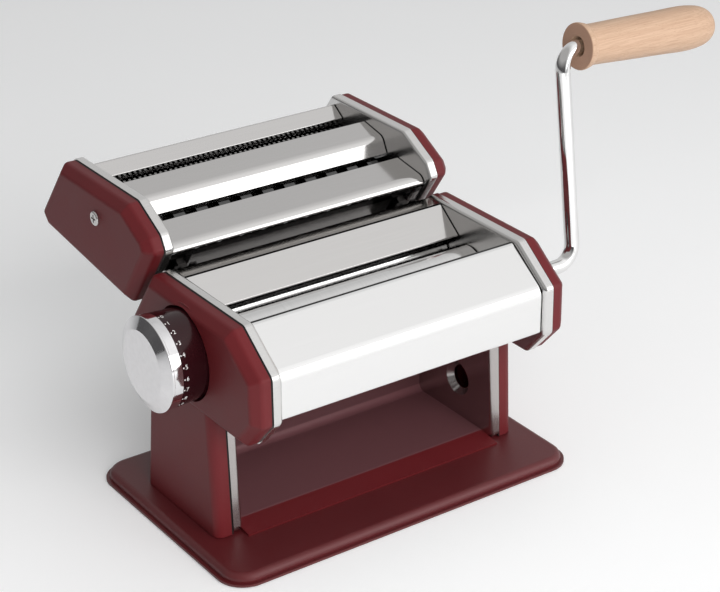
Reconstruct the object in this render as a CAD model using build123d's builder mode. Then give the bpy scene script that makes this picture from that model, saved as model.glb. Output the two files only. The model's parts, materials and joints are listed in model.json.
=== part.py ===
from build123d import *
from math import acos, cos, degrees, pi, radians, sin, sqrt, tan
import os

os.makedirs("parts", exist_ok=True)

# Side plates: dished steel sheets with a flange turned outward
inner_half = 76.0
sheet_t = 1.2
rim_round = 2.2
corner_round = 4.0
base_top = 6.0
pillar_height = 62.0
head_height = 57.0
head_under = base_top + pillar_height
head_top = head_under + head_height
slope_run = 23.0
slope_drop = 33.0
slope_top = (26.0, head_top)
slope_low = (slope_top[0] + slope_run, head_top - slope_drop)
head_corners = [slope_top, (-45.5, head_top), (-68.5, head_top - 17.2), (-69.0, head_under + 15.4),
                (-55.5, head_under)]
tail_corners = [(37.0, head_under), (slope_low[0], head_under + 13.0), slope_low]
head_points = head_corners + tail_corners
pillar_foot = [(-31.2, base_top), (37.5, base_top)]
plate_points = head_corners + [(-27.5, head_under)] + pillar_foot + [(30.0, head_under)] + tail_corners
plate_face = inner_half + sheet_t

# Rollers
roller_radius = 13.5
roller_end_fit = 0.6
roller_half = inner_half - roller_end_fit
open_gap = 3.0
gap_travel = 2.7
roller_drop = 29.0
roller_z = head_top - roller_drop
front_y = -9.7
rear_y = front_y + 2 * roller_radius + open_gap
journal_radius = 5.0
run_fit = 0.05
bush_radius = 8.0
bush_length = 3.0
slide_fit = 0.3

# Sliding bearings of the front roller and their cross bar
block_size = 18.0
slider_gap = 0.2
slider_t = 1.6
slider_out = plate_face + slider_gap + slider_t
bar_y = front_y - 28.3
bar_z = roller_z - 4.0
bar_radius = 3.0

# Tie rods between the plates
tie_radius = 3.5
tie_step = 1.0
tie_nut = 1.6
tie_front = (-56.0, roller_z - 2.0)
tie_rear = (41.0, roller_z - 10.0)

# Gears: the roller pair lies inside the pair that the crank turns
pressure = radians(25.0)
stack_gap = 0.3
roller_teeth = 12
roller_module = 2.25
roller_gear_tip = 2.25
roller_gear_root = 2.45
roller_backlash = 0.5
gear_in = slider_out + stack_gap
gear_t = 2.5
input_teeth = 20
input_module = 1.6
input_tip = 1.3
input_root = 1.7
input_backlash = 0.3
outer_gear_in = gear_in + gear_t + stack_gap
outer_gear_t = 2.3
input_y = rear_y - 28.0
input_z = roller_z - 15.7

# Painted covers on the plates
gear_reach = 3.1
flange_depth = outer_gear_in + outer_gear_t - inner_half - gear_reach
plate_outer = inner_half + flange_depth
cover_inset = 0.6
cover_depth = 10.0
cover_bevel = 4.4
cover_bevel_in = 3.0
cover_soft = 3.0
cover_wall = 1.8
pillar_flare = -0.9
pillar_fit = 0.5
pillar_overlap = 8.0
pillar_wall = 2.9
cover_face = plate_outer + cover_depth

# Base tray and its feet
base_margin = 12.2
base_width = 2 * (cover_face + base_margin)
base_depth = 132.7
base_corner = 14.5
base_lip = 1.8
lip_low = 0.5
lip_t = 1.2
foot_radius = 8.0
foot_inset = 21.5
foot_x = base_width / 2 - foot_inset
foot_y = base_depth / 2 - 16.35

# Hole for the table clamp
clamp_y = -1.7
clamp_z = base_top + 24.1
clamp_radius = 6.5
clamp_dish = 2.9
clamp_collar = 3.7

# Regulator and its knob
knob_y = front_y + 2.7
knob_z = roller_z + 1.3
knob_fit = 1.4
barrel_low = 22.0
barrel_flare = 1.0
barrel_top = barrel_low + barrel_flare
barrel_wall = 2.4
barrel_length = 18.6
barrel_sink = 5.1
barrel_in = cover_face - barrel_sink
barrel_out = barrel_in + barrel_length
hub_recess = 7.8
hub_in = barrel_in + hub_recess
web_t = 3.7
web_in = barrel_out - web_t
recess_radius = barrel_low + knob_fit
recess_depth = 6.5
recess_wall = 1.6
recess_floor = cover_face - recess_depth
cap_lip = 0.5
cap_lip_t = 1.1
cap_lip_round = 0.3
cap_radius = barrel_top + cap_lip
cap_band = barrel_top + 0.1
cap_wall = 4.5
cap_rim = 5.6
cap_out = barrel_out + cap_rim
cap_dome = 2.9
cap_flat = cap_out + cap_dome
cap_bevel = 5.9
shaft_radius = 6.0
shaft_flat = 4.8
pin_ring = 16.0
pin_clear = 0.3
index_pin_radius = 1.2
index_hole_radius = 1.5
index_count = 10
index_step = 14.5
turn_range = radians(index_step * (index_count - 1))
cam_gap = 0.8
cam_in = slider_out + cam_gap
cam_t = 2.8
cam_far = 12.7
cam_edge = 3.3
cam_radius = cam_far + cam_edge
follower_radius = 1.5
follower_fit = 0.15

# Crank and grip
rod_radius = 4.0
rod_flat = 3.0
socket_fit = 0.08
hub_radius = 7.0
hub_wall = 3.0
hub_fit = 0.5
hub_stand = 6.2
socket_out = cover_face + hub_stand
crank_reach = 55.9
crank_x = cover_face + crank_reach
crank_lean = 8.3
crank_arm = 115.0
crank_bend = 11.0
grip_droop = 3.3
grip_length = 93.0
grip_start = 10.5
grip_radius = 11.6
grip_blind = 12.0

# Cutter attachment, drawn from the top of the rear slope
cut_half = inner_half - 0.7
cut_flange = 5.1
cut_outer = cut_half + cut_flange
cut_cap_depth = 9.9
cut_face = cut_outer + cut_cap_depth
cut_round = 3.4
cut_roller_half = cut_half - 0.4
ridge_radius = 8.5
groove_radius = 6.3
cut_centre = 15.7
fine_y = slope_top[0] + 68.2
fine_z = head_top + 6.5
wide_y = slope_top[0] + 30.4
wide_z = head_top + 1.6
fine_pitch = 3.0
wide_pitch = 13.0
side_fit = 0.1
cut_journal = 4.0
bearing_t = 1.8
cut_teeth = 13
cut_module = 1.2
cut_gear_in = cut_half + sheet_t + bearing_t + 0.4
cut_gear_t = 3.4
journal_reach = 1.3
socket_floor = 0.6
cut_tie_y = slope_top[0] + 48.4
cut_tie_z = head_top + 11.6
screw_radius = 1.9

# Rails that carry the cutter on the rear slope
slope_len = sqrt(slope_run ** 2 + slope_drop ** 2)
slope_ny = slope_drop / slope_len
slope_nz = slope_run / slope_len
panel_inset = 1.5
apron_lift = 4.9
rail_x = inner_half - 10.0
rail_width = 12.0
rail_height = 4.4
rail_wall = 1.0
rail_length = 24.0
rail_start = 6.0
hook_length = 20.0
rail_slot = 5.0


def on_cutter(y, z):
    # Point of the cutter's side view, from the top of the rear slope
    return (slope_top[0] + y, head_top + z)


cut_points = [on_cutter(87.0, 28.0), on_cutter(22.2, 28.0), on_cutter(2.5, 17.2), on_cutter(-2.1, 9.5),
              on_cutter(slope_run - 1.1, 7.5 - slope_drop), on_cutter(105.0, -15.0), on_cutter(113.0, -6.0)]


def side_plane(x):
    return Plane.YZ.offset(x)


def bent(points, radii):
    # Straight runs joined by bends, drawn in the line block that is open
    last = Vector(*points[0])
    for i in range(1, len(points) - 1):
        here = Vector(*points[i])
        back = (last - here).normalized()
        ahead = (Vector(*points[i + 1]) - here).normalized()
        turn = acos(max(-1.0, min(1.0, back.dot(ahead))))
        reach = radii[i - 1] / tan(turn / 2)
        start = here + back * reach
        finish = here + ahead * reach
        middle = here + (back + ahead).normalized() * (radii[i - 1] / sin(turn / 2) - radii[i - 1])
        Line(last, start)
        ThreePointArc(start, middle, finish)
        last = finish
    Line(last, Vector(*points[-1]))


def involute(x):
    return tan(x) - x


def gear_points(teeth, module, addendum, dedendum, backlash, turn, cy, cz):
    # Outline of a spur gear as points about its axis
    pitch = teeth * module / 2
    base = pitch * cos(pressure)
    tip = pitch + addendum
    root = pitch - dedendum
    half = pi / (2 * teeth) - backlash / (2 * pitch)
    steps = 5
    flank = []
    low = max(base, root)
    for i in range(steps + 1):
        rho = low + (tip - low) * i / steps
        flank.append((rho, half + involute(pressure) - involute(acos(base / rho))))
    if root < base:
        flank.insert(0, (root, flank[0][1]))
    points = []
    for k in range(teeth):
        mid = turn + 2 * pi * k / teeth
        for rho, a in flank:
            points.append((cy + rho * cos(mid - a), cz + rho * sin(mid - a)))
        for rho, a in reversed(flank):
            points.append((cy + rho * cos(mid + a), cz + rho * sin(mid + a)))
    return points


def dee(radius, flat, cy, cz):
    # Round section with one flat, drawn in the sketch block that is open
    with Locations((cy, cz)):
        Circle(radius)
    with Locations((cy, cz + flat + radius / 2)):
        Rectangle(3 * radius, radius, mode=Mode.SUBTRACT)


# Blank of a side plate, drawn on the right
with BuildPart() as plate_blank:
    with BuildSketch(side_plane(inner_half)):
        with BuildLine():
            FilletPolyline(*plate_points, radius=corner_round, close=True)
        make_face()
    extrude(amount=flange_depth)
    fillet(plate_blank.faces().sort_by(Axis.X)[0].edges(), radius=rim_round)
    with BuildSketch(side_plane(plate_face)):
        with BuildLine():
            FilletPolyline(*plate_points, radius=corner_round, close=True)
        make_face()
        offset(amount=-sheet_t)
    extrude(amount=flange_depth, mode=Mode.SUBTRACT)
    # Bearing hole, slot of the sliding bearing, slot of the cross bar, tie rod holes
    with BuildSketch(side_plane(inner_half - 1)):
        with Locations((rear_y, roller_z)):
            Circle(bush_radius)
        with Locations((front_y + gap_travel / 2, roller_z)):
            Rectangle(block_size + gap_travel + 2 * slide_fit, block_size + 2 * slide_fit)
        with Locations((bar_y + gap_travel / 2, bar_z)):
            SlotOverall(2 * bar_radius + gap_travel + 2 * slide_fit, 2 * bar_radius + 2 * slide_fit)
        with Locations(tie_front, tie_rear):
            Circle(tie_radius - tie_step)
    extrude(amount=sheet_t + 2, mode=Mode.SUBTRACT)

with BuildPart() as left_plate:
    add(mirror(plate_blank.part, about=Plane.YZ))

with BuildPart() as right_plate:
    add(plate_blank.part)
    # Clamp hole with a dished rim and a drawn collar
    with BuildSketch(side_plane(inner_half)):
        with Locations((clamp_y, clamp_z)):
            Circle(clamp_radius + clamp_collar)
    extrude(amount=flange_depth - 0.5)
    with BuildSketch(side_plane(inner_half)):
        with Locations((clamp_y, clamp_z)):
            Circle(clamp_radius + clamp_dish)
    extrude(amount=3.0, taper=41, mode=Mode.SUBTRACT)
    with BuildSketch(side_plane(inner_half - 1)):
        with Locations((clamp_y, clamp_z)):
            Circle(clamp_radius)
    extrude(amount=flange_depth + 2, mode=Mode.SUBTRACT)

# Blank of a painted cover: head and flared pillar, drawn on the right
pillar_top = head_under + pillar_overlap
with BuildPart() as pillar_blank:
    with BuildSketch(side_plane(plate_outer)):
        with BuildLine():
            Polyline((-26.6, pillar_top), (pillar_foot[0][0] + 0.7, base_top + pillar_fit),
                     (pillar_foot[1][0] - 0.7, base_top + pillar_fit), (29.2, pillar_top), close=True)
        make_face()
    extrude(amount=cover_depth + pillar_flare)
    # Outer face leans out towards the base
    with BuildSketch(Plane.XZ.offset(-60)):
        with BuildLine():
            Polyline((cover_face + pillar_flare, base_top), (cover_face + 9, base_top),
                     (cover_face + 9, pillar_top + 2), (cover_face - 0.6, pillar_top + 2), close=True)
        make_face()
    extrude(amount=120, mode=Mode.SUBTRACT)
    fillet(pillar_blank.faces().sort_by(Axis.X)[-1].edges().filter_by(Axis.Y, reverse=True), radius=4.5)

with BuildPart() as pillar_hollow:
    with BuildSketch(side_plane(plate_outer)):
        with BuildLine():
            Polyline((-26.6 + cover_wall, pillar_top), (pillar_foot[0][0] + 2.6, base_top),
                     (pillar_foot[1][0] - 2.6, base_top), (29.2 - cover_wall, pillar_top), close=True)
        make_face()
    extrude(amount=cover_depth - pillar_wall)
    fillet(pillar_hollow.faces().sort_by(Axis.X)[-1].edges().filter_by(Axis.Y, reverse=True), radius=3.5)

with BuildPart() as head_hollow:
    with BuildSketch(side_plane(plate_outer)):
        with BuildLine():
            Polyline(*head_points, close=True)
        make_face()
        offset(amount=-cover_inset - cover_wall, kind=Kind.INTERSECTION)
    extrude(amount=cover_depth - cover_wall)
    chamfer(head_hollow.faces().sort_by(Axis.X)[-1].edges(), length=cover_bevel_in)

with BuildPart() as cover_blank:
    with BuildSketch(side_plane(plate_outer)):
        with BuildLine():
            Polyline(*head_points, close=True)
        make_face()
        offset(amount=-cover_inset, kind=Kind.INTERSECTION)
    extrude(amount=cover_depth)
    chamfer(cover_blank.faces().sort_by(Axis.X)[-1].edges(), length=cover_bevel)
    fillet(cover_blank.edges().filter_by(lambda e: e.center().X > plate_outer + 0.01), radius=cover_soft)
    add(pillar_blank.part)
    add(head_hollow.part, mode=Mode.SUBTRACT)
    add(pillar_hollow.part, mode=Mode.SUBTRACT)

with BuildPart() as left_cover:
    add(mirror(cover_blank.part, about=Plane.YZ))
    # Round recess for the knob with its floor, shaft hole and index holes
    with BuildSketch(side_plane(-recess_floor + recess_wall)):
        with Locations((knob_y, knob_z)):
            Circle(recess_radius + recess_wall)
    extrude(amount=-recess_depth)
    with BuildSketch(side_plane(-recess_floor)):
        with Locations((knob_y, knob_z)):
            Circle(recess_radius)
    extrude(amount=-recess_depth - 1, mode=Mode.SUBTRACT)
    with BuildSketch(side_plane(-recess_floor + 2 * recess_wall)):
        with Locations((knob_y, knob_z)):
            Circle(shaft_radius + run_fit)
        for i in range(index_count):
            a = radians(index_step * i)
            with Locations((knob_y + pin_ring * cos(a), knob_z - pin_ring * sin(a))):
                Circle(index_hole_radius)
    extrude(amount=-4 * recess_wall, mode=Mode.SUBTRACT)

with BuildPart() as right_cover:
    add(cover_blank.part)
    with BuildSketch(side_plane(plate_outer)):
        with Locations((input_y, input_z)):
            Circle(hub_radius + hub_wall)
    extrude(amount=cover_depth + 4, mode=Mode.SUBTRACT)

# Base tray with a rolled lip, hollow below
with BuildPart() as base_tray:
    with BuildSketch(Plane.XY.offset(lip_low)):
        RectangleRounded(base_width - 2 * base_lip, base_depth - 2 * base_lip, base_corner - base_lip)
    extrude(amount=base_top - lip_low)
    fillet(base_tray.faces().sort_by(Axis.Z)[-1].edges(), radius=3.4)
    with BuildSketch(Plane.XY.offset(lip_low)):
        RectangleRounded(base_width, base_depth, base_corner)
    extrude(amount=lip_t)
    with BuildSketch(Plane.XY.offset(lip_low)):
        RectangleRounded(base_width - 2 * base_lip - 2 * lip_t, base_depth - 2 * base_lip - 2 * lip_t,
                         base_corner - base_lip - lip_t)
    extrude(amount=base_top - lip_low - lip_t, taper=12, mode=Mode.SUBTRACT)

# Rubber feet, one shape set at four corners
with BuildPart() as foot_blank:
    with BuildSketch(Plane.XY):
        Circle(foot_radius)
    extrude(amount=base_top - lip_t)
    chamfer(foot_blank.faces().sort_by(Axis.Z)[0].edges(), length=0.8)


def foot(x, y, name):
    with BuildPart() as rubber_foot:
        add(foot_blank.part.moved(Location((x, y, 0))))
    rubber_foot.part.label = name
    export_step(rubber_foot.part, "parts/" + name + ".step")


foot(-foot_x, -foot_y, "foot_front_left")
foot(foot_x, -foot_y, "foot_front_right")
foot(-foot_x, foot_y, "foot_rear_left")
foot(foot_x, foot_y, "foot_rear_right")

# Floor panel: front ramp, floor, fold and back wall
floor_t = 1.0
floor_top = base_top + 2.8
wall_y = 31.5
wall_top = head_under + 2.0
with BuildPart() as floor_panel:
    with BuildSketch(side_plane(-inner_half)):
        with BuildLine():
            bent([(-36.0, base_top + floor_t), (-22.0, floor_top), (wall_y, floor_top), (wall_y, wall_top),
                  (wall_y + 14.5, wall_top)], [3.0, 4.0, 2.5])
            offset(amount=floor_t, side=Side.RIGHT)
        make_face()
    extrude(amount=2 * inner_half)

# Front hood: bent polished sheet with its upper edge rolled down and a lip at its foot
hood_t = 1.0
with BuildPart() as front_hood:
    with BuildSketch(side_plane(-inner_half)):
        with BuildLine():
            bent([(-38.5, head_top - 11.5), (-38.5, head_top + 1.5), (-66.4, head_top - 18.4),
                  (-66.6, head_under + 15.6), (-62.0, head_under + 14.4)], [3.5, 7.0, 1.6])
            offset(amount=hood_t, side=Side.LEFT)
        make_face()
    extrude(amount=2 * inner_half)

# Rear chute: lip, feed plate, top flange and rear panel in one sheet
panel_top = (slope_top[0] - panel_inset * slope_ny, slope_top[1] - panel_inset * slope_nz)
panel_low = (slope_low[0] - panel_inset * slope_ny, slope_low[1] - panel_inset * slope_nz)
chute_t = 0.9
with BuildPart() as rear_chute:
    with BuildSketch(side_plane(-inner_half)):
        with BuildLine():
            bent([(2.2, roller_z + 11.6), (0.0, roller_z + 15.6), (15.9, head_top - 1.3), panel_top, panel_low,
                  (slope_low[0] - 1.4, head_under + 14.0), (40.5, head_under + 6.5)],
                 [0.8, 1.4, 1.6, 3.0, 3.0])
            offset(amount=chute_t, side=Side.RIGHT)
        make_face()
    extrude(amount=2 * inner_half)


# Tie rods: a bar between the plates and a riveted head outside each
def tie_rod(spot, name):
    with BuildPart() as rod:
        with BuildSketch(side_plane(-inner_half)):
            with Locations(spot):
                Circle(tie_radius)
        extrude(amount=2 * inner_half)
        with BuildSketch(side_plane(-plate_face - tie_nut)):
            with Locations(spot):
                Circle(tie_radius - tie_step)
        extrude(amount=2 * (plate_face + tie_nut))
        for x in (-plate_face - tie_nut, plate_face):
            with BuildSketch(side_plane(x)):
                with Locations(spot):
                    Circle(tie_radius + 0.5)
            extrude(amount=tie_nut)
    rod.part.label = name
    export_step(rod.part, "parts/" + name + ".step")


tie_rod(tie_front, "tie_rod_front")
tie_rod(tie_rear, "tie_rod_rear")

# Bushes of the drive roller
with BuildPart() as bush_blank:
    with BuildSketch(side_plane(inner_half)):
        with Locations((rear_y, roller_z)):
            Circle(bush_radius)
            Circle(journal_radius + run_fit, mode=Mode.SUBTRACT)
    extrude(amount=bush_length)
    with BuildSketch(side_plane(plate_face)):
        with Locations((rear_y, roller_z)):
            Circle(bush_radius + 2.5)
            Circle(journal_radius + run_fit, mode=Mode.SUBTRACT)
    extrude(amount=1.4)

with BuildPart() as bush_right:
    add(bush_blank.part)

with BuildPart() as bush_left:
    add(mirror(bush_blank.part, about=Plane.YZ))

# Bush of the crank socket, set in the right cover
with BuildPart() as crank_bush:
    with BuildSketch(side_plane(cover_face - cover_wall)):
        with Locations((input_y, input_z)):
            Circle(hub_radius + hub_wall)
            Circle(hub_radius + run_fit, mode=Mode.SUBTRACT)
    extrude(amount=hub_stand - 1.0 + cover_wall)
    with BuildSketch(side_plane(cover_face)):
        with Locations((input_y, input_z)):
            Circle(hub_radius + 2 * hub_wall)
            Circle(hub_radius + run_fit, mode=Mode.SUBTRACT)
    extrude(amount=1.8)
    chamfer(crank_bush.faces().sort_by(Axis.X)[-1].edges(), length=0.5)

# Scraper blades below the rollers, set for the closed gap
blade_t = 0.8
blade_fit = 0.4


def scraper(cy, toward, name):
    with BuildPart() as blade:
        a = radians(-60.0)
        reach = roller_radius + blade_fit
        tip = (cy + toward * reach * cos(a), roller_z + reach * sin(a))
        heel = (tip[0] - toward * 9.0, tip[1] - 8.0)
        across = (-toward * 0.66 * blade_t, 0.75 * blade_t)
        with BuildSketch(side_plane(-inner_half)):
            with BuildLine():
                Polyline(tip, heel, (heel[0] - across[0], heel[1] - across[1]),
                         (tip[0] - across[0], tip[1] - across[1]), close=True)
            make_face()
        extrude(amount=2 * inner_half)
    blade.part.label = name
    export_step(blade.part, "parts/" + name + ".step")


scraper(front_y + gap_travel, 1, "scraper_front")
scraper(rear_y, -1, "scraper_rear")

# Drive roller at the rear
drive_end = inner_half + bush_length + 1.4
with BuildPart() as drive_roller:
    with BuildSketch(side_plane(-roller_half)):
        with Locations((rear_y, roller_z)):
            Circle(roller_radius)
    extrude(amount=2 * roller_half)
    chamfer(drive_roller.edges().filter_by(GeomType.CIRCLE), length=0.4)
    with BuildSketch(side_plane(-drive_end)):
        with Locations((rear_y, roller_z)):
            Circle(journal_radius)
    extrude(amount=drive_end + outer_gear_in + outer_gear_t)

# Roller gears, meshed one to one
mesh_turn = pi / roller_teeth


def roller_gear(turn, cy):
    return gear_points(roller_teeth, roller_module, roller_gear_tip, roller_gear_root, roller_backlash, turn,
                       cy, roller_z)


with BuildPart() as drive_gear:
    with BuildSketch(side_plane(gear_in)):
        with BuildLine():
            Polyline(*roller_gear(pi, rear_y), close=True)
        make_face()
        with Locations((rear_y, roller_z)):
            Circle(journal_radius, mode=Mode.SUBTRACT)
    extrude(amount=gear_t)

with BuildPart() as adjust_gear:
    with BuildSketch(side_plane(gear_in)):
        with BuildLine():
            Polyline(*roller_gear(mesh_turn, front_y), close=True)
        make_face()
        with Locations((front_y, roller_z)):
            Circle(journal_radius, mode=Mode.SUBTRACT)
    extrude(amount=gear_t)

# Crank gear and the driven gear outside the roller gears
input_angle = Vector(rear_y - input_y, roller_z - input_z).get_angle(Vector(1, 0))
driven_turn = radians(input_angle) + pi
socket_turn = radians(input_angle) + pi / input_teeth


def crank_gear(turn, cy, cz):
    return gear_points(input_teeth, input_module, input_tip, input_root, input_backlash, turn, cy, cz)


with BuildPart() as driven_gear:
    with BuildSketch(side_plane(outer_gear_in)):
        with BuildLine():
            Polyline(*crank_gear(driven_turn, rear_y, roller_z), close=True)
        make_face()
        with Locations((rear_y, roller_z)):
            Circle(journal_radius, mode=Mode.SUBTRACT)
    extrude(amount=outer_gear_t)

with BuildPart() as crank_socket:
    with BuildSketch(side_plane(outer_gear_in)):
        with BuildLine():
            Polyline(*crank_gear(socket_turn, input_y, input_z), close=True)
        make_face()
    extrude(amount=outer_gear_t)
    with BuildSketch(side_plane(outer_gear_in + outer_gear_t)):
        with Locations((input_y, input_z)):
            Circle(hub_radius)
    extrude(amount=socket_out - outer_gear_in - outer_gear_t)
    with BuildSketch(side_plane(outer_gear_in + 1.0)):
        dee(rod_radius + socket_fit, rod_flat + socket_fit, input_y, input_z)
    extrude(amount=socket_out - outer_gear_in, mode=Mode.SUBTRACT)

# Sliding bearings of the front roller, joined by a cross bar
with BuildPart() as slider_blank:
    with BuildSketch(side_plane(inner_half)):
        with Locations((front_y, roller_z)):
            Rectangle(block_size, block_size)
    extrude(amount=sheet_t + slider_gap)
    with BuildSketch(side_plane(plate_face + slider_gap)):
        with Locations((front_y, roller_z)):
            Rectangle(block_size + 6, block_size + 6)
        with Locations(((bar_y + front_y) / 2, bar_z)):
            SlotOverall(front_y - bar_y + 14, 4 * bar_radius)
    extrude(amount=slider_t)
    with BuildSketch(side_plane(inner_half - 1)):
        with Locations((front_y, roller_z)):
            Circle(journal_radius + run_fit)
        with Locations((bar_y, bar_z)):
            Circle(bar_radius)
    extrude(amount=slider_out - inner_half + 2, mode=Mode.SUBTRACT)

with BuildPart() as slider_right:
    add(slider_blank.part)

with BuildPart() as slider_left:
    add(mirror(slider_blank.part, about=Plane.YZ))
    # Follower pin that rides in the scroll of the regulator
    with BuildSketch(side_plane(-plate_face - slider_gap)):
        with Locations((knob_y - cam_far, knob_z)):
            Circle(follower_radius)
    extrude(amount=-(cam_in + cam_t - stack_gap - plate_face - slider_gap))

with BuildPart() as slider_bar:
    with BuildSketch(side_plane(-slider_out)):
        with Locations((bar_y, bar_z)):
            Circle(bar_radius)
    extrude(amount=2 * slider_out)

# Adjustable front roller
adjust_end = slider_out + 0.2
with BuildPart() as adjust_roller:
    with BuildSketch(side_plane(-roller_half)):
        with Locations((front_y, roller_z)):
            Circle(roller_radius)
    extrude(amount=2 * roller_half)
    chamfer(adjust_roller.edges().filter_by(GeomType.CIRCLE), length=0.4)
    with BuildSketch(side_plane(-adjust_end)):
        with Locations((front_y, roller_z)):
            Circle(journal_radius)
    extrude(amount=adjust_end + gear_in + gear_t)

# Regulator shaft with a scroll plate
scroll_over = radians(12.0)
scroll_steps = 14


def scroll(offset_r):
    # One wall of the scroll: radius falls evenly with angle
    row = []
    for i in range(scroll_steps + 1):
        turn = (turn_range + 2 * scroll_over) * i / scroll_steps - scroll_over
        rho = cam_far - gap_travel * turn / turn_range + offset_r
        row.append((knob_y - rho * cos(turn), knob_z - rho * sin(turn)))
    return row


groove_half = follower_radius + follower_fit
flat_start = hub_in - 2.0
with BuildPart() as regulator_shaft:
    with BuildSketch(side_plane(-cam_in)):
        with Locations((knob_y, knob_z)):
            Circle(cam_radius)
        outer_wall = scroll(groove_half)
        inner_wall = scroll(-groove_half)
        with BuildLine():
            Spline(*outer_wall)
            Line(outer_wall[-1], inner_wall[-1])
            Spline(*inner_wall)
            Line(inner_wall[0], outer_wall[0])
        make_face(mode=Mode.SUBTRACT)
    extrude(amount=-cam_t)
    with BuildSketch(side_plane(-cam_in - cam_t)):
        with Locations((knob_y, knob_z)):
            Circle(shaft_radius)
    extrude(amount=-(flat_start - cam_in - cam_t))
    with BuildSketch(side_plane(-flat_start)):
        dee(shaft_radius, shaft_flat, knob_y, knob_z)
    extrude(amount=-(barrel_out - 1.2 - flat_start))

# Knob barrel that carries the scale
knob_plane = Plane(origin=(0, knob_y, knob_z), x_dir=(1, 0, 0), z_dir=(0, 0, 1))
knob_axis = Axis((0, knob_y, knob_z), (1, 0, 0))
barrel_bore = barrel_low - barrel_wall
hub_outer = shaft_radius + 3.5
with BuildPart() as knob_barrel:
    with BuildSketch(knob_plane):
        with BuildLine():
            Polyline((-barrel_in, barrel_bore), (-barrel_in, barrel_low), (-barrel_out, barrel_top),
                     (-barrel_out, 0), (-hub_in, 0), (-hub_in, hub_outer), (-web_in, hub_outer),
                     (-web_in, barrel_bore), close=True)
        make_face()
    revolve(axis=knob_axis)
    with BuildSketch(side_plane(-hub_in + 1)):
        dee(shaft_radius + socket_fit, shaft_flat + socket_fit, knob_y, knob_z)
    extrude(amount=-barrel_length, mode=Mode.SUBTRACT)

# Polished cap on the knob, with a rolled lip at its front edge
lip_start = cap_out - cap_lip_t
with BuildPart() as knob_cap:
    with BuildSketch(knob_plane):
        with BuildLine():
            Polyline((-barrel_out, 0), (-barrel_out, cap_band), (-lip_start, cap_band),
                     (-lip_start, cap_radius), (-cap_out, cap_radius),
                     (-cap_flat, cap_radius - cap_bevel), (-cap_flat, 0), close=True)
        make_face()
    revolve(axis=knob_axis)
    lip_edges = knob_cap.edges().filter_by(GeomType.CIRCLE)
    fillet(lip_edges.filter_by(lambda e: e.radius > cap_radius - 0.01), radius=cap_lip_round)
    with BuildSketch(side_plane(-barrel_out + 1)):
        with Locations((knob_y, knob_z)):
            Circle(cap_radius - cap_wall)
    extrude(amount=-1 - cap_rim, mode=Mode.SUBTRACT)

# Index pin in the knob
with BuildPart() as index_pin:
    with BuildSketch(side_plane(-recess_floor - pin_clear)):
        with Locations((knob_y + pin_ring, knob_z)):
            Circle(index_pin_radius)
    extrude(amount=-(web_in - recess_floor - pin_clear))

# Crank: bent rod with a flat on its inner end
lean = radians(crank_lean)
droop = radians(grip_droop)
arm_dir = Vector(0, sin(lean), cos(lean))
grip_dir = Vector(cos(droop), 0, 0) - arm_dir * sin(droop)
crank_low = Vector(crank_x, input_y, input_z)
crank_top = crank_low + arm_dir * crank_arm
rod_start = Vector(outer_gear_in + 1.4, input_y, input_z)
rod_end = crank_top + grip_dir * (grip_start + grip_length - grip_blind)
with BuildPart() as crank_rod:
    with BuildLine():
        FilletPolyline(rod_start, crank_low, crank_top, rod_end, radius=crank_bend)
    with BuildSketch(side_plane(rod_start.X)):
        with Locations((input_y, input_z)):
            Circle(rod_radius)
    sweep()
    with BuildSketch(side_plane(rod_start.X - 1)):
        with Locations((input_y, input_z + rod_flat + 2)):
            Rectangle(10, 4)
    extrude(amount=15, mode=Mode.SUBTRACT)
    chamfer(crank_rod.faces().sort_by(Axis.X)[0].edges(), length=0.5)

# Turned wooden grip
grip_plane = Plane(origin=crank_top, x_dir=grip_dir, z_dir=Vector(0, 1, 0).cross(grip_dir) * -1)
grip_axis = Axis(crank_top, grip_dir)
grip_bore = rod_radius + 0.3
grip_mouth = grip_bore + 1.3
grip_crown = grip_blind - 4.0
with BuildPart() as grip:
    with BuildSketch(grip_plane):
        s = grip_start
        e = grip_start + grip_length
        with BuildLine():
            Line((s, grip_mouth), (s, grip_radius))
            Spline((s, grip_radius), (s + 1.2, grip_radius + 0.8), (s + 3.4, grip_radius + 0.3),
                   (s + 5.2, grip_radius - 0.9), tangents=((0, 1), (0.6, -0.8)))
            Spline((s + 5.2, grip_radius - 0.9), (s + 30, grip_radius - 0.4), (s + 62, grip_radius + 0.3),
                   (e - 12, grip_radius - 0.2), (e - 3, grip_radius - 3.8), (e, 0.01), tangents=((1, 0.0), (0, -1)))
            Line((e, 0.01), (e - grip_crown, 0.01))
            Line((e - grip_crown, 0.01), (e - grip_crown, grip_bore))
            Line((e - grip_crown, grip_bore), (s + 3, grip_bore))
            Line((s + 3, grip_bore), (s, grip_mouth))
        make_face()
    revolve(axis=grip_axis)

# Blank of a cutter plate, drawn on the right
cut_axes = [(fine_y + cut_centre / 2, fine_z), (fine_y - cut_centre / 2, fine_z),
            (wide_y + cut_centre / 2, wide_z), (wide_y - cut_centre / 2, wide_z)]
with BuildPart() as cut_plate_blank:
    with BuildSketch(side_plane(cut_half)):
        with BuildLine():
            FilletPolyline(*cut_points, radius=cut_round, close=True)
        make_face()
    extrude(amount=cut_flange)
    fillet(cut_plate_blank.faces().sort_by(Axis.X)[0].edges(), radius=1.7)
    with BuildSketch(side_plane(cut_half + sheet_t)):
        with BuildLine():
            FilletPolyline(*cut_points, radius=cut_round, close=True)
        make_face()
        offset(amount=-sheet_t)
    extrude(amount=cut_flange, mode=Mode.SUBTRACT)
    with BuildSketch(side_plane(cut_half - 1)):
        with Locations(*cut_axes):
            Circle(cut_journal + 1.2)
        with Locations((cut_tie_y, cut_tie_z)):
            Circle(tie_radius)
    extrude(amount=sheet_t + 2, mode=Mode.SUBTRACT)

with BuildPart() as cutter_right_plate:
    add(cut_plate_blank.part)

with BuildPart() as cutter_left_plate:
    add(mirror(cut_plate_blank.part, about=Plane.YZ))

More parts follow.
